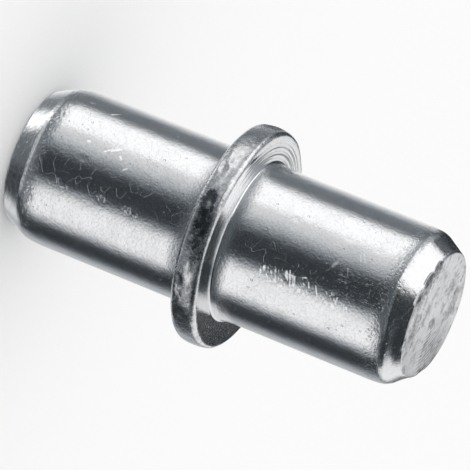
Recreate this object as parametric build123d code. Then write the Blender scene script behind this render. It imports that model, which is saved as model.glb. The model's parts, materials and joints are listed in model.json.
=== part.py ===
from build123d import *
import os

# A steel shelf support pin: two plain shanks on one axis, with a thin collar between them.
# It stands on the flat end of its lower shank: the axis is Z, and z = 0 is that end.

# Driving dimensions, in millimetres

# The shank fits a 5 mm shelf hole
shank_diameter = 5.0

# Each shank runs from its end to the nearer face of the collar
lower_shank_length = 6.51
upper_shank_length = 6.35

# The collar stands out past the shank by its overhang, measured at the crown of its rim
collar_overhang = 1.06
collar_thickness = 0.88
rim_crown = 0.06
rim_rounding = 0.16

# The two ends were chamfered apart, so their chamfers differ a little
lower_chamfer_length = 0.7
lower_chamfer_depth = 0.34
upper_chamfer_length = 0.65
upper_chamfer_depth = 0.39
shoulder_rounding = 0.4
end_rounding = 0.07

# Each shank swells a little on its way into the collar
lower_foot_length = 0.66
upper_foot_length = 0.5
foot_rise = 0.07
root_rounding = 0.08

# Turning marks ring the collar's upper face, out to a smooth land inside its rim
ring_pitch = 0.12
ring_width = 0.07
ring_depth = 0.02
ring_root_gap = 0.12
smooth_land = 0.14

# What follows from them
shank_radius = shank_diameter / 2
foot_radius = shank_radius + foot_rise
rim_radius = shank_radius + collar_overhang
rim_edge_radius = rim_radius - rim_crown
collar_bottom = lower_shank_length
collar_top = collar_bottom + collar_thickness
pin_length = collar_top + upper_shank_length

# Corners of the lengthwise section, as distance from the axis and height
bottom_centre = (0, 0)
bottom_edge = (shank_radius - lower_chamfer_depth, 0)
lower_shoulder = (shank_radius, lower_chamfer_length)
lower_foot_start = (shank_radius, collar_bottom - lower_foot_length)
lower_root = (foot_radius, collar_bottom)
lower_rim = (rim_edge_radius, collar_bottom)
crown = (rim_radius, collar_bottom + collar_thickness / 2)
upper_rim = (rim_edge_radius, collar_top)
upper_root = (foot_radius, collar_top)
upper_foot_start = (shank_radius, collar_top + upper_foot_length)
upper_shoulder = (shank_radius, pin_length - upper_chamfer_length)
top_edge = (shank_radius - upper_chamfer_depth, pin_length)
top_centre = (0, pin_length)


# Half of the lengthwise section, with sharp corners
def sharp_section():
    with BuildSketch(Plane.XZ) as section:
        with BuildLine():
            Polyline(bottom_centre, bottom_edge, lower_shoulder, lower_foot_start)
            TangentArc(lower_foot_start, lower_root, tangent=(0, 1))
            Line(lower_root, lower_rim)
            ThreePointArc(lower_rim, crown, upper_rim)
            Line(upper_rim, upper_root)
            TangentArc(upper_foot_start, upper_root, tangent=(0, -1))
            Polyline(upper_foot_start, upper_shoulder, top_edge, top_centre, bottom_centre)
        make_face()
    return section


# Rounds the corners of the section that lie at the given points
def round_corners(section, points, radius):
    corners = [section.vertices().sort_by_distance(point)[0] for point in points]
    with section:
        fillet(corners, radius)


# The whole pin, turned from its section
def turned_body():
    section = sharp_section()
    round_corners(section, [bottom_edge, top_edge], end_rounding)
    round_corners(section, [lower_shoulder, upper_shoulder], shoulder_rounding)
    round_corners(section, [lower_root, upper_root], root_rounding)
    round_corners(section, [lower_rim, upper_rim], rim_rounding)
    return revolve(section.sketch, Axis.Z)


# Cutter for the turning marks: V grooves from the root of the upper shank out to the smooth land
def turning_marks():
    first_radius = foot_radius + ring_root_gap
    last_radius = rim_edge_radius - rim_rounding - smooth_land
    ring_count = int((last_radius - first_radius) / ring_pitch) + 1
    groove_places = [(first_radius + ring_pitch * index, collar_top) for index in range(ring_count)]
    with BuildSketch(Plane.XZ) as grooves:
        with Locations(groove_places):
            Polygon((0, -ring_depth), (ring_width, ring_depth), (-ring_width, ring_depth), align=None)
    return revolve(grooves.sketch, Axis.Z)


shelf_pin = turned_body() - turning_marks()

os.makedirs("parts", exist_ok=True)
export_step(shelf_pin, "parts/shelf_pin.step")
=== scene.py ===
import json
import math

import bmesh
import bpy
from mathutils import Matrix, Vector, noise


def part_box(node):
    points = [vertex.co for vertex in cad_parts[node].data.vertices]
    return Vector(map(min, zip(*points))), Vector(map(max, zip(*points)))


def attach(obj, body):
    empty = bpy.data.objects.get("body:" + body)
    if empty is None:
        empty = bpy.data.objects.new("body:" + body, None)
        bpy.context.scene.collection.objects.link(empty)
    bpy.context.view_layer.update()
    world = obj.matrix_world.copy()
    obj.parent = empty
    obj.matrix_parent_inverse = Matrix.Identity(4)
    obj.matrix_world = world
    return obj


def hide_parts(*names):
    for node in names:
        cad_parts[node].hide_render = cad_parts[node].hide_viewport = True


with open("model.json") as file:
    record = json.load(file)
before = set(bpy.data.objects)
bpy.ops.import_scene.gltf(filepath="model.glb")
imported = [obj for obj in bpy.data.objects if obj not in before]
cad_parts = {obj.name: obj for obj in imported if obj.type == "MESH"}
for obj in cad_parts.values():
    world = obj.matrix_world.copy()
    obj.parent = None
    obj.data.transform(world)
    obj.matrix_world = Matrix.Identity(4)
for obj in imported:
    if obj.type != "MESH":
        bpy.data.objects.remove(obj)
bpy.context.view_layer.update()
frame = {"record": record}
mm = 0.001                                    # the frame is in metres, the pin's own sizes are in millimetres

mounts = {m["name"]: m for m in frame["record"]["mounts"]}
pinLow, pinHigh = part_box("shelf_pin")

# the pin, from its foot up; places come from the frame, the small sizes are the pin's own
pin = dict(
    length=(pinHigh.z - pinLow.z) / mm,
    rimRadius=pinHigh.x / mm,
    shankRadius=mounts["panel_shank"]["dims"]["r_mm"],
    collarBottom=mounts["panel_stop"]["pos_m"][2] / mm,
    collarTop=mounts["shelf_stop"]["pos_m"][2] / mm,
    rimCrown=0.06,
    rimRounding=0.15,
    crownRounding=0.2,
    lowerChamfer=(0.34, 0.7),                 # depth, length
    upperChamfer=(0.39, 0.65),
    shoulderRounding=0.09,
    endRounding=0.035,
    footRise=0.07,
    lowerFoot=0.85,
    upperFoot=0.62,
    footEase=0.8,                             # how much of half a foot's length is rounded
    rootRounding=0.06,
    rings=(                                   # radius and depth of each turning mark
        (2.7, 0.013),
        (2.82, 0.023),
        (2.93, 0.014),
        (3.05, 0.02),
        (3.19, 0.012),
    ),
    ringWidth=0.08,
    ringRounding=0.008,
    cornerSteps=4,
    turns=300,                                # steps round the pin
    shankRow=0.1,                             # height of one row of faces on the shanks
    fineRow=0.055,                            # and on the collar and the chamfers
    fineEnds=0.9,                             # how far the fine rows reach from each end
    fineCollar=0.1,                           # and past the collar
    mergeDistance=0.0005,
)

# how far the real surface strays from the turned one, in millimetres
wear = dict(
    shankWave=(0.0045, 1.1),                  # height and length of the waves
    shankStretch=0.45,                        # the shanks' waves are longer along the axis
    shankPeen=(0.0022, 0.3),
    shoulderPeen=(0.004, 0.16),
    rimWave=(0.012, 0.5),
    rimPeen=(0.006, 0.21),
    rimEdgePeen=(0.0024, 0.3),
    rimEdgeShift=(5, 0, 0),                   # so that it differs from the other waves
    rimLoss=0.008,
    endWave=(0.006, 0.62),
    endPeen=(0.003, 0.23),
    endLoss=0.006,
    barrel=0.05,                              # the shanks close in a little towards their ends
    lowerTaper=(1.3, 0.6),                    # from how far off the end, and over what length
    upperTaper=(1.2, 0.55),
    collarReach=0.4,                          # how far past the collar its own wear reaches
    collarLean=0.0105,                        # rise of the collar's plane across the pin
    leanReach=0.6,
    ringRadii=(2.6, 3.3),                     # the turning marks lie between these
    ringDepth=0.03,
    endSkin=0.05,                             # what lies this near the top belongs to the end face
    endLean=0.012,
    endRadius=2.1,
    cornerCut=0.085,                          # one side of the upper chamfer is cut deeper
    cornerTurn=104,                           # in degrees round from the front
    shoulderShift=0.09,                       # and its shoulder lies nearer the end
    shoulderTurn=48,
    shoulderHeight=0.75,
)

# the two values between which each kind of wear grows from nothing to all: distances from the axis or
# along it (cornerHeight and leanHeight count from the top), turns in degrees, shares of a nick's reach
growth = dict(
    wall=(2.12, 2.3),
    collar=(2.56, 3.2),
    rim=(3.3, 3.45),
    barrel=(0.4, 2.0),
    corner=(1.0, 2.0),
    cornerHeight=(-0.9, -0.2),
    cornerSide=(8, 44),
    shoulder=(0.2, 0.45),
    shiftedShoulder=(0, 0.45),
    shiftedSide=(14, 44),
    leanHeight=(-0.7, -0.02),
    ringFade=(-0.6, 1.8),
    nick=(0.3, 1),
    nickEdge=(1.88, 2.08),
)

# dents: degrees round from the front, height, reach, depth
dents = [
    (-10.1, 2.34, 0.14, 0.012),
    (-20.8, 2.84, 0.13, 0.01),
    (-24.0, 3.1, 0.13, -0.008),
    (-27.4, 9.26, 0.13, 0.009),
    (-28.0, 11.02, 0.12, 0.008),
    (-28.0, 12.05, 0.16, 0.008),
    (8.0, 2.05, 0.2, 0.008),
    (12.2, 3.33, 0.22, 0.009),
    (10.8, 4.36, 0.22, 0.009),
    (13.5, 9.81, 0.22, 0.013),
    (15.5, 10.05, 0.16, -0.009),
    (12.0, 11.3, 0.2, 0.008),
    (-30.6, 6.8, 0.22, 0.035),
    (-39.6, 6.78, 0.16, -0.02),
    (-35.0, 7.0, 0.14, 0.025),
    (-12.4, 6.94, 0.3, 0.04),
    (-2.0, 7.02, 0.3, 0.035),
    (10.0, 6.9, 0.24, 0.03),
    (22.0, 6.94, 0.26, -0.03),
    (31.3, 6.76, 0.24, 0.022),
    (39.0, 6.83, 0.14, 0.012),
    (44.0, 6.86, 0.12, -0.012),
    (53.0, 6.83, 0.3, 0.03),
]

# shallow facets where the upper end's edge was nicked: degrees round, reach in degrees, depth
edgeNicks = [
    (-46, 8, 0.035),
    (-28, 11, 0.05),
    (-9, 9, 0.04),
    (38, 6, 0.02),
    (120, 10, 0.02),
]


# a smooth step from 0 to 1 between two values
def blend(low, high, value):
    part = min(max((value - low) / (high - low), 0), 1)
    return part * part * (3 - 2 * part)


# the lengthwise outline: a chain of corners, each rounded by cutting it back
def drawOutline(bm):
    r = pin["shankRadius"]
    bottom, top = pin["collarBottom"], pin["collarTop"]
    rim = pin["rimRadius"] - pin["rimCrown"]
    foot = r + pin["footRise"]
    lowDepth, lowLength = pin["lowerChamfer"]
    highDepth, highLength = pin["upperChamfer"]
    lowFoot, highFoot = pin["lowerFoot"] / 2, pin["upperFoot"] / 2
    halfRing = pin["ringWidth"] / 2
    corners = [
        (0, 0, 0),
        (r - lowDepth, 0, pin["endRounding"]),
        (r, lowLength, pin["shoulderRounding"]),
        (r, bottom - lowFoot, lowFoot * pin["footEase"]),
        (foot, bottom, pin["rootRounding"]),
        (rim, bottom, pin["rimRounding"]),
        (pin["rimRadius"], (bottom + top) / 2, pin["crownRounding"]),
        (rim, top, pin["rimRounding"]),
    ]
    for ring, depth in reversed(pin["rings"]):
        corners.append((ring + halfRing, top, 0))
        corners.append((ring, top - depth, pin["ringRounding"]))
        corners.append((ring - halfRing, top, 0))
    corners += [
        (foot, top, pin["rootRounding"]),
        (r, top + highFoot, highFoot * pin["footEase"]),
        (r, pin["length"] - highLength, pin["shoulderRounding"]),
        (r - highDepth, pin["length"], pin["endRounding"]),
        (0, pin["length"], 0),
    ]
    chain = [bm.verts.new((x, 0, z)) for x, z, cut in corners]
    for a, b in zip(chain, chain[1:]):
        bm.edges.new((a, b))
    for corner, (x, z, cut) in zip(chain, corners):
        if cut:
            bmesh.ops.bevel(bm, geom=[corner], offset=cut, offset_type="OFFSET", profile=0.5,
                            segments=pin["cornerSteps"], affect="VERTICES", material=-1)


# cuts the outline's edges into rows, finer ones on the collar and near the ends
def addRows(bm):
    lowerShank = (pin["fineEnds"], pin["collarBottom"] - pin["fineCollar"])
    upperShank = (pin["collarTop"] + pin["fineCollar"], pin["length"] - pin["fineEnds"])
    for edge in list(bm.edges):
        height = sum(v.co.z for v in edge.verts) / 2
        onShank = lowerShank[0] < height < lowerShank[1] or upperShank[0] < height < upperShank[1]
        row = pin["shankRow"] if onShank else pin["fineRow"]
        cuts = math.ceil(edge.calc_length() / row) - 1
        if cuts > 0:
            bmesh.ops.subdivide_edges(bm, edges=[edge], cuts=cuts)


def turnOutline(bm):
    bmesh.ops.spin(bm, geom=bm.verts[:] + bm.edges[:], cent=(0, 0, 0), axis=(0, 0, 1),
                   angle=math.tau, steps=pin["turns"], use_merge=True)
    bmesh.ops.remove_doubles(bm, verts=bm.verts[:], dist=pin["mergeDistance"])
    bmesh.ops.recalc_face_normals(bm, faces=bm.faces[:])


# one kind of wave at a point
def wave(kind, place, shift=(0, 0, 0)):
    height, length = wear[kind]
    return height * noise.noise(place / length + Vector(shift))


# 1 over the collar's thickness, and down to 0 at a distance from it
def overCollar(height, reach):
    bottom, top = pin["collarBottom"], pin["collarTop"]
    return blend(bottom - reach, bottom, height) * (1 - blend(top, top + reach, height))


# 0 along the middle of the pin and 1 at its two ends
def nearEnds(height):
    lowStart, lowRun = wear["lowerTaper"]
    highStart, highRun = wear["upperTaper"]
    lower = (lowStart - height) / lowRun
    upper = (height - pin["length"] + highStart) / highRun
    return min(max(lower, upper, 0), 1)


def dentAt(place, turn):
    total = 0
    for degrees, height, reach, depth in dents:
        if abs(place.z - height) > reach:
            continue
        across = math.radians(turn - degrees) * pin["shankRadius"]
        away = math.hypot(across, place.z - height)
        total -= depth * (1 - blend(0, reach, away))
    return total


# how far a point moves away from the axis
def outwardPush(place, radius, turn):
    length = pin["length"]
    wall = blend(*growth["wall"], radius)
    collar = blend(*growth["collar"], radius) * overCollar(place.z, wear["collarReach"])
    ends = nearEnds(place.z)
    toShoulder = min(abs(place.z - wear["shoulderHeight"]), abs(place.z - length + wear["shoulderHeight"]))
    shoulder = ends * (1 - blend(*growth["shoulder"], toShoulder))
    stretched = Vector((place.x, place.y, place.z * wear["shankStretch"]))
    shankWaves = wave("shankWave", stretched) + wave("shankPeen", place)
    push = wall * (1 - collar) * (shankWaves + shoulder * wave("shoulderPeen", place))
    rimWaves = wave("rimWave", place) + wave("rimPeen", place) - wear["rimLoss"]
    push += blend(*growth["rim"], radius) * rimWaves
    push -= wear["barrel"] * ends ** 2 * blend(*growth["barrel"], radius)
    push += wall * dentAt(place, turn)
    cornerHeight = blend(*growth["cornerHeight"], place.z - length)
    cornerSide = 1 - blend(*growth["cornerSide"], abs(turn - wear["cornerTurn"]))
    push -= wear["cornerCut"] * cornerHeight * cornerSide * blend(*growth["corner"], radius)
    return push


# how far a point moves along the axis
def rise(place, radius, turn):
    length = pin["length"]
    fromEnd = place.z - length
    total = wear["collarLean"] * place.x * overCollar(place.z, wear["leanReach"])
    total += blend(*growth["rim"], radius) * wave("rimEdgePeen", place, wear["rimEdgeShift"])
    onSide = 1 - blend(*growth["shiftedSide"], abs(turn - wear["shoulderTurn"]))
    toShoulder = abs(fromEnd + pin["upperChamfer"][1])
    total += wear["shoulderShift"] * onSide * (1 - blend(*growth["shiftedShoulder"], toShoulder))
    total -= wear["endLean"] * (place.x + wear["endRadius"]) * blend(*growth["leanHeight"], fromEnd)
    if fromEnd > -wear["endSkin"]:
        endWaves = wave("endWave", place) + wave("endPeen", place) - wear["endLoss"]
        total += endWaves * (1 - blend(*growth["wall"], radius))
        for degrees, reach, depth in edgeNicks:
            nick = 1 - blend(*growth["nick"], abs(turn - degrees) / reach)
            total -= depth * nick * blend(*growth["nickEdge"], radius)
    return total


# moves every point a little off the turned shape, as rolling, plating and handling left it
def wearSurface(bm):
    top = pin["collarTop"]
    ringInner, ringOuter = wear["ringRadii"]
    for vert in bm.verts:
        place = vert.co.copy()
        radius = math.hypot(place.x, place.y)
        turn = math.degrees(math.atan2(place.x, -place.y))
        outward = Vector((place.x, place.y, 0)) / max(radius, 1e-6)
        push = outwardPush(place, radius, turn)
        # the turning marks fade on one side
        if top - wear["ringDepth"] < place.z < top and ringInner < radius < ringOuter:
            place.z += (top - place.z) * blend(*growth["ringFade"], place.x)
        vert.co = place + outward * push + Vector((0, 0, rise(place, radius, turn)))


def makePin():
    bm = bmesh.new()
    drawOutline(bm)
    addRows(bm)
    turnOutline(bm)
    wearSurface(bm)
    print("pin turned and worn:", len(bm.verts), "points,", len(bm.faces), "faces")
    bmesh.ops.scale(bm, vec=(mm, mm, mm), verts=bm.verts[:])
    for face in bm.faces:
        face.smooth = True
    mesh = bpy.data.meshes.new("pinBody")
    bm.to_mesh(mesh)
    bm.free()
    body = bpy.data.objects.new("pinBody", mesh)
    bpy.context.scene.collection.objects.link(body)
    return body


def newMaterial(name):
    material = bpy.data.materials.new(name)
    material.use_nodes = True
    return material, material.node_tree.nodes["Principled BSDF"]


# gives a socket a value, or a link where the value is another socket
def feed(tree, socket, value):
    if hasattr(value, "is_linked"):
        tree.links.new(value, socket)
    else:
        socket.default_value = value


# one math node with numbers or sockets as its inputs
def calc(tree, operation, *values, clamp=False):
    node = tree.nodes.new("ShaderNodeMath")
    node.operation = operation
    node.use_clamp = clamp
    for socket, value in zip(node.inputs, values):
        feed(tree, socket, value)
    return node.outputs[0]


def vectorCalc(tree, operation, *values):
    node = tree.nodes.new("ShaderNodeVectorMath")
    node.operation = operation
    for socket, value in zip(node.inputs, values):
        feed(tree, socket, value)
    return node.outputs


def add(tree, *values):
    total = values[0]
    for value in values[1:]:
        total = calc(tree, "ADD", total, value)
    return total


def times(tree, *values):
    product = values[0]
    for value in values[1:]:
        product = calc(tree, "MULTIPLY", product, value)
    return product


def inverse(tree, value):
    return calc(tree, "SUBTRACT", 1, value)


# a smooth step from 0 to 1 between two values
def ramp(tree, value, low, high):
    node = tree.nodes.new("ShaderNodeMapRange")
    node.interpolation_type = "SMOOTHSTEP"
    feed(tree, node.inputs["Value"], value)
    feed(tree, node.inputs["From Min"], low)
    feed(tree, node.inputs["From Max"], high)
    return node.outputs[0]


# what a texture adds: nothing below its low value, the most above its high one
def amount(tree, value, low, high, most):
    return times(tree, ramp(tree, value, low, high), most)


def mix(tree, kind, factor, first, second):
    node = tree.nodes.new("ShaderNodeMix")
    node.data_type = kind
    feed(tree, node.inputs["Factor"], factor)
    feed(tree, node.inputs["A"], first)
    feed(tree, node.inputs["B"], second)
    return node.outputs["Result"]


def newGroup(name, inputs, outputs):
    group = bpy.data.node_groups.new(name, "ShaderNodeTree")
    for socketName, kind, value in inputs:
        socket = group.interface.new_socket(socketName, in_out="INPUT", socket_type="NodeSocket" + kind)
        if value is not None:
            socket.default_value = value
    for socketName, kind in outputs:
        group.interface.new_socket(socketName, in_out="OUTPUT", socket_type="NodeSocket" + kind)
    return group, group.nodes.new("NodeGroupInput").outputs, group.nodes.new("NodeGroupOutput").inputs


def useGroup(tree, group, label, **values):
    node = tree.nodes.new("ShaderNodeGroup")
    node.node_tree = group
    node.label = label
    for name, value in values.items():
        feed(tree, node.inputs[name.replace("_", " ")], value)
    return node.outputs[0]


# noise with a feature size given in millimetres, and a stretch for each direction
def grainGroup():
    group, given, out = newGroup("grain", [
        ("Vector", "Vector", None),
        ("Size", "Float", 0.3),
        ("Stretch", "Vector", (1, 1, 1)),
        ("Detail", "Float", 2),
        ("Bend", "Float", 0),
    ], [("Value", "Float")])
    texture = group.nodes.new("ShaderNodeTexNoise")
    feed(group, texture.inputs["Vector"], vectorCalc(group, "DIVIDE", given["Vector"], given["Stretch"])[0])
    feed(group, texture.inputs["Scale"], calc(group, "DIVIDE", 1, given["Size"]))
    feed(group, texture.inputs["Detail"], given["Detail"])
    feed(group, texture.inputs["Distortion"], given["Bend"])
    feed(group, out["Value"], texture.outputs["Fac"])
    return group


# a worn patch round a point, with a ragged edge
def patchGroup(grain):
    group, given, out = newGroup("wornPatch", [
        ("Vector", "Vector", None),
        ("Centre", "Vector", (0, 0, 0)),
        ("Reach", "Vector", (1, 1, 1)),
        ("Raggedness", "Float", 0.5),
        ("Edge Size", "Float", 0.2),
    ], [("Mask", "Float")])
    offset = vectorCalc(group, "SUBTRACT", given["Vector"], given["Centre"])[0]
    scaled = vectorCalc(group, "DIVIDE", offset, given["Reach"])[0]
    away = vectorCalc(group, "LENGTH", scaled)["Value"]
    edge = useGroup(group, grain, "edge", Vector=given["Vector"], Size=given["Edge Size"], Detail=3.0)
    pushed = times(group, calc(group, "SUBTRACT", edge, 0.5), given["Raggedness"])
    fullTo, goneAt = 0.75, 1.05
    feed(group, out["Mask"], inverse(group, ramp(group, add(group, away, pushed), fullTo, goneAt)))
    return group


# fine scratches: thin level lines of a stretched noise, broken up by a second one
def scratchGroup(grain):
    group, given, out = newGroup("fineScratches", [
        ("Vector", "Vector", None),
        ("Size", "Float", 0.5),
        ("Stretch", "Vector", (1, 1, 4)),
        ("Width", "Float", 0.02),
        ("Cover", "Float", 0.5),
        ("Bend", "Float", 0.3),
    ], [("Mask", "Float")])
    lines = useGroup(group, grain, "lines", Vector=given["Vector"], Size=given["Size"],
                     Stretch=given["Stretch"], Detail=1.5, Bend=given["Bend"])
    away = calc(group, "ABSOLUTE", calc(group, "SUBTRACT", lines, 0.5))
    thin = inverse(group, ramp(group, away, 0.0, given["Width"]))
    breakSize = times(group, given["Size"], 0.7)
    breaks = useGroup(group, grain, "breaks", Vector=given["Vector"], Size=breakSize)
    level = inverse(group, given["Cover"])
    fade = 0.06
    shown = ramp(group, breaks, calc(group, "SUBTRACT", level, fade), add(group, level, fade))
    feed(group, out["Mask"], times(group, thin, shown))
    return group


# small round specks, scattered
def speckGroup():
    group, given, out = newGroup("specks", [
        ("Vector", "Vector", None),
        ("Spacing", "Float", 0.3),
        ("Speck Size", "Float", 0.2),
    ], [("Mask", "Float")])
    cells = group.nodes.new("ShaderNodeTexVoronoi")
    feed(group, cells.inputs["Vector"], given["Vector"])
    feed(group, cells.inputs["Scale"], calc(group, "DIVIDE", 1, given["Spacing"]))
    pick = group.nodes.new("ShaderNodeSeparateXYZ")
    feed(group, pick.inputs[0], cells.outputs["Color"])
    noSpeckTo, wholeFrom = 0.35, 0.9                  # the cells' random values that set the speck's size
    size = times(group, given["Speck Size"], ramp(group, pick.outputs[0], noSpeckTo, wholeFrom))
    core = times(group, size, 0.5)
    feed(group, out["Mask"], inverse(group, ramp(group, cells.outputs["Distance"], core, size)))
    return group


# a single scratch between two points
def markGroup():
    group, given, out = newGroup("scratchMark", [
        ("Vector", "Vector", None),
        ("Start", "Vector", (0, 0, 0)),
        ("End", "Vector", (0, 0, 1)),
        ("Width", "Float", 0.05),
    ], [("Mask", "Float")])
    fromStart = vectorCalc(group, "SUBTRACT", given["Vector"], given["Start"])[0]
    along = vectorCalc(group, "SUBTRACT", given["End"], given["Start"])[0]
    reached = vectorCalc(group, "DOT_PRODUCT", fromStart, along)["Value"]
    whole = vectorCalc(group, "DOT_PRODUCT", along, along)["Value"]
    nearest = group.nodes.new("ShaderNodeVectorMath")
    nearest.operation = "SCALE"
    feed(group, nearest.inputs[0], along)
    feed(group, nearest.inputs["Scale"], calc(group, "DIVIDE", reached, whole, clamp=True))
    away = vectorCalc(group, "LENGTH", vectorCalc(group, "SUBTRACT", fromStart, nearest.outputs[0])[0])
    feed(group, out["Mask"], inverse(group, ramp(group, away["Value"], 0, given["Width"])))
    return group


# colours; spans of a noise with what it adds there, as low, high and most; sizes in millimetres
plating = dict(
    light=(0.87, 0.877, 0.885, 1),
    dull=(0.59, 0.6, 0.615, 1),
    stain=(0.14, 0.15, 0.165, 1),
    mark=(0.19, 0.195, 0.205, 1),
    cloudDull=(0.4, 0.75, 0.22),
    grainDull=(0.45, 0.75, 0.12),
    rimDull=(0.4, 0.8),
    endDull=0.1,
    endEdgeDull=0.3,
    markLeast=0.45,
    markGrain=(0.38, 0.62, 0.55),
    grainMark=(0.4, 0.8, 0.15),
    blotchMark=(0.46, 0.72, 0.6),
    arcMark=0.38,
    stainGaps=(0.52, 0.66, 0.6),
    roughness=0.2,
    roughnessSpread=0.12,
    endRoughness=0.1,
    rimRoughness=0.08,
    rubLean=22,
    rubSpan=(0.5, 0.62),
    rubTilt=0.17,
    faceArcMiddle=(-0.5, -0.6, 13.74),
    faceArcPitch=0.13,
    rim=(3.32, 3.44),                         # distances from the axis at which the parts set in
    endEdge=(1.9, 2.02),
    upperEnd=(-0.1, -0.05),                   # heights, the upper end's from the top
    lowerEnd=(0.03, 0.06),
    upperShoulder=-0.87,
    lowerShoulder=0.85,
    shoulder=(0.12, 0.36),
)

# height of each kind of relief, in millimetres
relief = dict(
    fine=0.0042,
    shoulderFine=0.002,
    hair=0.0009,
    rubbedHair=0.002,
    rimPeen=0.013,
    endPeen=0.009,
    shoulderPeen=0.002,
    longScratches=-0.00015,
    cobwebs=-0.0011,
    arcs=0.002,
    pits=-0.0035,
    grit=-0.005,
)

# the noises of the plating: the group that makes each one, and its inputs
textures = dict(
    cloud=("grain", dict(Size=0.8, Detail=4.0)),
    fine=("grain", dict(Size=0.08, Detail=2.0)),
    hair=("grain", dict(Size=0.07, Stretch=(4, 2, 1), Detail=3.0, Bend=0.8)),
    peen=("grain", dict(Size=0.17, Detail=3.0)),
    blotch=("grain", dict(Size=0.3, Detail=4.0, Bend=0.5)),
    longScratches=("scratches", dict(Size=0.9, Stretch=(1, 1, 2.5), Width=0.005, Cover=0.25, Bend=0.8)),
    cobwebs=("scratches", dict(Size=0.13, Width=0.022, Cover=0.5, Bend=1.2)),
    pits=("specks", dict(Spacing=0.26, Speck_Size=0.18)),
    grit=("specks", dict(Spacing=0.1, Speck_Size=0.5)),
)

# centre, reach, raggedness, edge size and strength of each patch, in millimetres
patchTables = dict(
    rimStains=[
        ((-0.62, -3.49, 6.9), (0.5, 0.5, 0.26), 1.6, 0.07, 0.95),
        ((0.08, -3.54, 7.0), (0.7, 0.5, 0.27), 1.6, 0.07, 0.95),
        ((0.8, -3.46, 7.12), (0.5, 0.5, 0.19), 1.8, 0.06, 0.95),
        ((1.85, -3.03, 6.76), (0.25, 0.3, 0.2), 1.2, 0.06, 0.9),
        ((2.2, -2.78, 6.95), (0.36, 0.5, 0.42), 1.8, 0.08, 0.5),
        ((2.75, -2.2, 6.9), (0.45, 0.6, 0.36), 1.8, 0.09, 0.6),
    ],
    rubs=[
        ((0.66, -2.42, 9.7), (0.27, 0.6, 0.95), 2.0, 0.2, 1.0),
        ((0.74, -2.39, 11.3), (0.22, 0.6, 0.6), 2.0, 0.2, 0.8),
        ((0.48, -2.45, 2.0), (0.14, 0.6, 0.3), 1.6, 0.15, 0.5),
        ((0.42, -2.46, 3.35), (0.2, 0.6, 0.2), 1.6, 0.15, 0.6),
        ((0.5, -2.45, 4.35), (0.14, 0.6, 0.3), 1.6, 0.15, 0.6),
    ],
    faceStains=[
        ((0.22, 0.08, 13.73), (0.2, 0.3, 0.3), 1.0, 0.15, 0.7),
        ((0.85, 0.3, 13.73), (0.6, 0.1, 0.3), 1.0, 0.12, 0.6),
        ((-1.3, -1.35, 13.73), (0.42, 0.3, 0.3), 1.4, 0.1, 0.9),
        ((-0.8, -1.65, 13.73), (0.4, 0.28, 0.3), 1.4, 0.1, 0.9),
        ((-0.25, -1.8, 13.73), (0.4, 0.3, 0.3), 1.4, 0.1, 0.8),
        ((0.75, -1.35, 13.73), (0.7, 0.45, 0.3), 2.4, 0.12, 0.6),
        ((-1.1, 0.5, 13.73), (0.5, 0.3, 0.3), 2.4, 0.15, 0.5),
        ((-0.6, 1.2, 13.73), (0.8, 0.35, 0.3), 2.4, 0.18, 0.55),
        ((0.9, 1.1, 13.73), (0.9, 0.7, 0.3), 2.4, 0.18, 0.45),
    ],
    arcArea=[
        ((0.9, 1.1, 13.73), (1.2, 1.2, 0.4), 0.6, 0.3, 1.0),
    ],
    cobwebArea=[
        ((-0.1, -2.5, 11.9), (0.6, 0.5, 0.95), 0.8, 0.3, 1.0),
    ],
)

# single scratches: start, end, width, and how far their floor is tilted over towards +X
scratchMarks = [
    ((-0.889, -2.336, 2.84), (-1.01, -2.287, 3.01), 0.05, -0.24),
    ((-0.965, -2.306, 3.02), (-1.116, -2.237, 3.25), 0.055, -0.26),
    ((-0.919, -2.325, 3.35), (-0.828, -2.359, 3.43), 0.05, -0.2),
    ((-0.571, -2.434, 3.64), (-0.647, -2.415, 3.73), 0.045, -0.2),
    ((-0.98, -2.3, 2.2), (-0.985, -2.299, 2.24), 0.07, -0.24),
    ((-1.165, -2.212, 1.17), (-1.165, -2.212, 1.2), 0.06, -0.2),
    ((-2.096, -1.363, 1.45), (-2.126, -1.315, 1.62), 0.05, 0.2),
    ((-2.0, -1.5, 2.3), (-2.108, -1.345, 2.51), 0.05, 0.2),
    ((-0.371, -2.472, 11.42), (-0.133, -2.496, 11.52), 0.04, -0.1),
    ((-0.25, -2.487, 10.96), (-0.4, -2.468, 11.04), 0.09, -0.1),
    ((0.345, -2.476, 9.77), (0.79, -2.371, 9.91), 0.042, 0.2),
    ((0.4, -2.467, 10.22), (0.374, -2.472, 10.33), 0.045, 0.2),
    ((0.464, -2.457, 10.44), (0.613, -2.424, 10.5), 0.035, 0.16),
    ((0.494, -2.451, 10.69), (0.762, -2.381, 10.83), 0.035, 0.16),
    ((-0.937, -2.318, 11.68), (-0.7, -2.4, 11.84), 0.03, -0.12),
    ((-0.878, -2.341, 11.6), (-0.67, -2.41, 11.71), 0.03, -0.12),
    ((-1.08, -2.22, 12.83), (-1.0, -2.26, 12.85), 0.05, -0.28),
    ((0.34, -2.45, 12.9), (0.44, -2.43, 12.92), 0.06, 0.26),
    ((1.33, -2.0, 13.28), (1.42, -1.95, 13.31), 0.045, 0.3),
    ((1.6, -1.76, 13.27), (1.72, -1.7, 13.29), 0.05, 0.25),
    ((1.9, -1.42, 13.2), (1.95, -1.38, 13.21), 0.05, 0.2),
]


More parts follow.
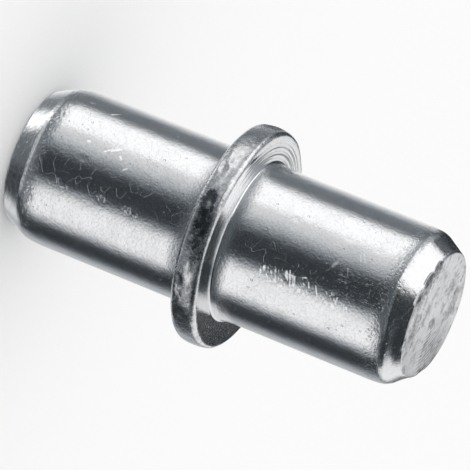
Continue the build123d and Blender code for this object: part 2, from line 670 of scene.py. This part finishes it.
# the noises and patches at a place, by name
def platingTextures(tree, place):
    grain = grainGroup()
    groups = dict(grain=grain, scratches=scratchGroup(grain), specks=speckGroup())
    slant = tree.nodes.new("ShaderNodeMapping")                        # the rubbed marks lean over
    slant.inputs["Rotation"].default_value = (0, math.radians(plating["rubLean"]), 0)
    feed(tree, slant.inputs["Vector"], place)
    made = {}
    for name, (group, values) in textures.items():
        vector = slant.outputs["Vector"] if name == "hair" else place
        made[name] = useGroup(tree, groups[group], name, Vector=vector, **values)
    patch = patchGroup(grain)
    for name, table in patchTables.items():
        for centre, reach, ragged, edge, strength in table:
            one = useGroup(tree, patch, name, Vector=place, Centre=centre, Reach=reach,
                           Raggedness=ragged, Edge_Size=edge)
            one = times(tree, one, strength)
            made[name] = calc(tree, "MAXIMUM", made[name], one) if name in made else one
    return made


# masks of the pin's parts: the rim, the end faces and their edge, and the shoulders
def partMasks(tree, place):
    split = tree.nodes.new("ShaderNodeSeparateXYZ")
    feed(tree, split.inputs[0], place)
    x, y, z = split.outputs
    radius = calc(tree, "SQRT", add(tree, times(tree, x, x), times(tree, y, y)))
    highLow, highHigh = plating["upperEnd"]
    upperEnd = ramp(tree, z, pin["length"] + highLow, pin["length"] + highHigh)
    end = calc(tree, "MAXIMUM", upperEnd, inverse(tree, ramp(tree, z, *plating["lowerEnd"])))
    toUpper = calc(tree, "ABSOLUTE", calc(tree, "SUBTRACT", z, pin["length"] + plating["upperShoulder"]))
    toLower = calc(tree, "ABSOLUTE", calc(tree, "SUBTRACT", z, plating["lowerShoulder"]))
    return dict(
        rim=ramp(tree, radius, *plating["rim"]),
        end=end,
        endEdge=times(tree, end, ramp(tree, radius, *plating["endEdge"])),
        shoulder=inverse(tree, ramp(tree, calc(tree, "MINIMUM", toUpper, toLower), *plating["shoulder"])),
    )


# arcs that the saw left on part of the end face
def sawArcs(tree, place, made, parts):
    away = vectorCalc(tree, "DISTANCE", place, plating["faceArcMiddle"])["Value"]
    turns = calc(tree, "SINE", times(tree, away, math.tau / plating["faceArcPitch"]))
    return times(tree, turns, parts["end"], made["arcArea"])


# cloudy plating, marked on the end faces and worn through to dark steel on the rim
def platingColour(tree, made, parts, arcs):
    dullness = add(
        tree,
        amount(tree, made["cloud"], *plating["cloudDull"]),
        amount(tree, made["fine"], *plating["grainDull"]),
        times(tree, parts["rim"], ramp(tree, made["blotch"], *plating["rimDull"])),
        times(tree, parts["end"], plating["endDull"]),
    )
    dullness = calc(tree, "ADD", dullness, times(tree, parts["endEdge"], plating["endEdgeDull"]), clamp=True)
    marks = add(tree, plating["markLeast"], amount(tree, made["fine"], *plating["markGrain"]))
    marks = add(
        tree,
        times(tree, marks, made["faceStains"]),
        amount(tree, made["fine"], *plating["grainMark"]),
        amount(tree, made["blotch"], *plating["blotchMark"]),
        times(tree, arcs, plating["arcMark"]),
    )
    marks = calc(tree, "MULTIPLY", marks, parts["end"], clamp=True)
    stains = inverse(tree, amount(tree, made["peen"], *plating["stainGaps"]))
    stains = calc(tree, "MULTIPLY", made["rimStains"], stains, clamp=True)
    plated = mix(tree, "RGBA", dullness, plating["light"], plating["dull"])
    marked = mix(tree, "RGBA", marks, plated, plating["mark"])
    return mix(tree, "RGBA", stains, marked, plating["stain"])


def platingRoughness(tree, made, parts):
    return add(
        tree,
        times(tree, made["fine"], plating["roughnessSpread"]),
        plating["roughness"] - plating["roughnessSpread"] / 2,
        times(tree, parts["end"], plating["endRoughness"]),
        times(tree, parts["rim"], plating["rimRoughness"]),
    )


# the relief of the plating, in millimetres
def platingHeight(tree, made, parts, arcs):
    fine = add(tree, relief["fine"], times(tree, parts["shoulder"], relief["shoulderFine"]))
    hair = add(tree, relief["hair"], times(tree, made["rubs"], relief["rubbedHair"]))
    peen = add(
        tree,
        times(tree, parts["rim"], relief["rimPeen"]),
        times(tree, parts["end"], relief["endPeen"]),
        times(tree, parts["shoulder"], relief["shoulderPeen"]),
    )
    return add(
        tree,
        times(tree, made["fine"], fine),
        times(tree, made["hair"], hair),
        times(tree, made["peen"], peen),
        times(tree, made["longScratches"], relief["longScratches"]),
        times(tree, made["cobwebs"], made["cobwebArea"], relief["cobwebs"]),
        times(tree, arcs, relief["arcs"]),
        times(tree, made["pits"], relief["pits"]),
        times(tree, made["grit"], parts["shoulder"], relief["grit"]),
    )


# rubbed streaks and scratches are small facets, tilted across the pin
def facetTilt(tree, place, made):
    mark = markGroup()
    tilt = times(tree, made["rubs"], ramp(tree, made["hair"], *plating["rubSpan"]), plating["rubTilt"])
    for start, end, width, lean in scratchMarks:
        one = useGroup(tree, mark, "scratch", Vector=place, Start=start, End=end, Width=width)
        tilt = add(tree, tilt, times(tree, one, lean))
    return tilt


def zincPlating():
    material, shader = newMaterial("zincPlating")
    tree = material.node_tree
    mapping = tree.nodes.new("ShaderNodeMapping")
    mapping.inputs["Scale"].default_value = (1 / mm, 1 / mm, 1 / mm)        # millimetres from here on
    feed(tree, mapping.inputs["Vector"], tree.nodes.new("ShaderNodeTexCoord").outputs["Object"])
    place = mapping.outputs["Vector"]
    made = platingTextures(tree, place)
    parts = partMasks(tree, place)
    arcs = sawArcs(tree, place, made, parts)
    bump = tree.nodes.new("ShaderNodeBump")
    bump.inputs["Distance"].default_value = mm
    feed(tree, bump.inputs["Height"], platingHeight(tree, made, parts, arcs))
    across = tree.nodes.new("ShaderNodeCombineXYZ")
    feed(tree, across.inputs["X"], facetTilt(tree, place, made))
    tilted = vectorCalc(tree, "ADD", bump.outputs["Normal"], across.outputs[0])[0]
    feed(tree, shader.inputs["Normal"], vectorCalc(tree, "NORMALIZE", tilted)[0])
    feed(tree, shader.inputs["Base Color"], platingColour(tree, made, parts, arcs))
    feed(tree, shader.inputs["Roughness"], platingRoughness(tree, made, parts))
    shader.inputs["Metallic"].default_value = 1
    return material


# light panels round the pin, with dark gaps between them: azimuth runs from the camera's side
# towards +X, elevation upwards, both in degrees
studio = dict(
    ambient=0.036,
    shadeTint=(0.83, 0.96, 1.09, 1),
    white=(1, 1, 1, 1),
    plainLight=1.0,
    floorRadius=1.2,
    floorSides=96,
    floorPaint=(0.97, 0.97, 0.97, 1),
    cardPaint=(0.028, 0.032, 0.036, 1),
    panels=dict(
        # azimuth, half width, softness, low, high, softness, level
        sidePanel=(-75, 24, 11, -28, -7, 5, 1.19),
        sideWash=(-49, 21, 19, -28, -7, 5, 0.74),
        sideGap=(-85, 45, 15, -5, 10, 5, 0.36),
        lowFill=(0, 75, 20, -46, -30, 3, 0.13),
        lowGap=(-100, 30, 10, -46, -36, 6, 0.36),
        lowStrip=(0, 75, 15, -56, -48, 4, 0.8),
        lowSide=(-86, 20, 8, -95, -45, 6, 1.45),
        upperSide=(-70.5, 45, 3, 10, 62, 5, 1.2),
        frontPanel=(60.8, 26.5, 13, -25.5, -8, 4, 1.03),
        frontGap=(20, 90, 30, -4, 6, 6, 0.1),
        frontHigh=(0, 50, 15, 15, 25, 4, 0.17),
        backdrop=(-172, 26, 28, -60, -9, 4, 1.02),
        backFill=(160, 24, 15, -60, -8, 5, 0.48),
        dimFill=(-130, 25, 15, -60, -8, 5, 0.15),
        upperRight=(141, 30, 8, -3, 60, 5, 0.85),
        lowRight=(135, 15, 8, -60, -34, 6, 0.75),
        lowFront=(-5, 55, 25, -95, -40, 8, 0.12),
        upperBack=(180, 14, 4, 6, 38, 4, 0.84),
        backHigh=(-143, 26, 8, 27, 62, 5, 0.32),
        overhead=(0, 200, 5, 66, 120, 10, 0.8),
    ),
    # black cards behind the pin, seen only by the metal: left, right, low and high edge and how far
    # behind, in millimetres
    cards=dict(
        collarFaceCard=(1.5, 8, 9.5, 19.5, 20),
        cornerCard=(-13, -3.2, 7, 11.8, 20),
        rimCard=(-7.5, -3, 3.6, 5.5, 6),
    ),
)


# how bright one soft-edged panel is in the direction of a ray
def panelGroup():
    names = ("Azimuth", "Elevation", "Centre", "Half Width", "Softness", "Low", "High", "Fade", "Level")
    group, given, out = newGroup("softPanel", [(name, "Float", 0) for name in names], [("Light", "Float")])

    def step(value, middle, softness):
        low = calc(group, "SUBTRACT", middle, softness)
        return ramp(group, value, low, add(group, middle, softness))

    offset = calc(group, "WRAP", calc(group, "SUBTRACT", given["Azimuth"], given["Centre"]), 180, -180)
    across = inverse(group, step(calc(group, "ABSOLUTE", offset), given["Half Width"], given["Softness"]))
    aboveLow = step(given["Elevation"], given["Low"], given["Fade"])
    belowHigh = inverse(group, step(given["Elevation"], given["High"], given["Fade"]))
    feed(group, out["Light"], times(group, across, aboveLow, belowHigh, given["Level"]))
    return group


def makeStudio():
    world = bpy.data.worlds.new("studio")
    bpy.context.scene.world = world
    world.use_nodes = True
    world.cycles.sampling_method = "NONE"
    tree = world.node_tree
    nodes = tree.nodes
    nodes.clear()
    direction = nodes.new("ShaderNodeSeparateXYZ")
    feed(tree, direction.inputs[0], nodes.new("ShaderNodeTexCoord").outputs["Generated"])
    x, y, z = direction.outputs
    azimuth = calc(tree, "DEGREES", calc(tree, "ARCTAN2", x, times(tree, y, -1)))
    elevation = calc(tree, "DEGREES", calc(tree, "ARCSINE", z))
    group = panelGroup()
    light = 0
    for name, values in studio["panels"].items():
        panel = nodes.new("ShaderNodeGroup")
        panel.node_tree = group
        panel.label = name
        for socket, value in zip(panel.inputs, (azimuth, elevation) + values):
            feed(tree, socket, value)
        light = calc(tree, "MAXIMUM", light, panel.outputs[0])
    rays = nodes.new("ShaderNodeLightPath").outputs
    mirrors = calc(tree, "MAXIMUM", rays["Is Glossy Ray"], rays["Is Transmission Ray"])
    # the metal mirrors the panels, the floor gets plain light and the camera sees plain white
    mirrored = add(tree, light, studio["ambient"])
    strength = mix(tree, "FLOAT", mirrors, studio["plainLight"], mirrored)
    strength = mix(tree, "FLOAT", rays["Is Camera Ray"], strength, 1)
    # the dark parts of the studio are a little blue
    dark = calc(tree, "POWER", calc(tree, "SUBTRACT", 1, light, clamp=True), 2)
    colour = mix(tree, "RGBA", times(tree, mirrors, dark), studio["white"], studio["shadeTint"])
    background = nodes.new("ShaderNodeBackground")
    feed(tree, background.inputs["Color"], colour)
    feed(tree, background.inputs["Strength"], strength)
    feed(tree, nodes.new("ShaderNodeOutputWorld").inputs["Surface"], background.outputs[0])


def stageObject(name, bm, colour):
    mesh = bpy.data.meshes.new(name)
    bm.to_mesh(mesh)
    bm.free()
    thing = bpy.data.objects.new(name, mesh)
    bpy.context.scene.collection.objects.link(thing)
    material, shader = newMaterial(name + "Paint")
    shader.inputs["Base Color"].default_value = colour
    shader.inputs["Roughness"].default_value = 1
    shader.inputs["Specular IOR Level"].default_value = 0
    mesh.materials.append(material)
    return thing


def makeFloor():
    bm = bmesh.new()
    bmesh.ops.create_circle(bm, cap_ends=True, segments=studio["floorSides"], radius=studio["floorRadius"])
    floor = stageObject("floor", bm, studio["floorPaint"])
    floor.visible_glossy = False


def makeCards():
    for name, (left, right, low, high, behind) in studio["cards"].items():
        bm = bmesh.new()
        corners = [(left, low), (right, low), (right, high), (left, high)]
        bm.faces.new([bm.verts.new((x * mm, behind * mm, z * mm)) for x, z in corners])
        card = stageObject(name, bm, studio["cardPaint"])
        card.visible_camera = False
        card.visible_diffuse = False
        card.visible_shadow = False


# the photograph's view: the pin's axis runs down to the right, its upper end towards the camera;
# angles in degrees, the aim in millimetres, distances in metres
view = dict(
    elevation=18.9,
    roll=22.05,
    distance=0.215,
    lens=543.0,
    aimHeight=6.887,
    aimSide=-0.0185,
    nearest=0.01,
    farthest=10,
)


def makeCamera():
    up = math.radians(view["elevation"])
    roll = math.radians(view["roll"])
    back = Vector((0, -math.cos(up), math.sin(up)))            # from the pin to the camera
    along = Vector((0, math.sin(up), math.cos(up)))            # the pin's axis as the camera sees it
    side = Vector((1, 0, 0))
    right = along * math.cos(roll) - side * math.sin(roll)
    top = -along * math.sin(roll) - side * math.cos(roll)
    camera = bpy.data.objects.new("photoCamera", bpy.data.cameras.new("photoCamera"))
    bpy.context.scene.collection.objects.link(camera)
    place = Vector((view["aimSide"] * mm, 0, view["aimHeight"] * mm)) + back * view["distance"]
    turn = Matrix((right, top, back)).transposed().to_4x4()
    camera.matrix_world = Matrix.Translation(place) @ turn
    camera.data.lens = view["lens"]
    camera.data.clip_start = view["nearest"]
    camera.data.clip_end = view["farthest"]
    bpy.context.scene.camera = camera


pinBody = makePin()
pinBody.data.materials.append(zincPlating())
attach(pinBody, "root")
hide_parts("shelf_pin")
print("pin finished")

makeStudio()
makeFloor()
makeCards()
makeCamera()
bpy.context.scene.view_settings.view_transform = "Standard"
print("studio and camera set")
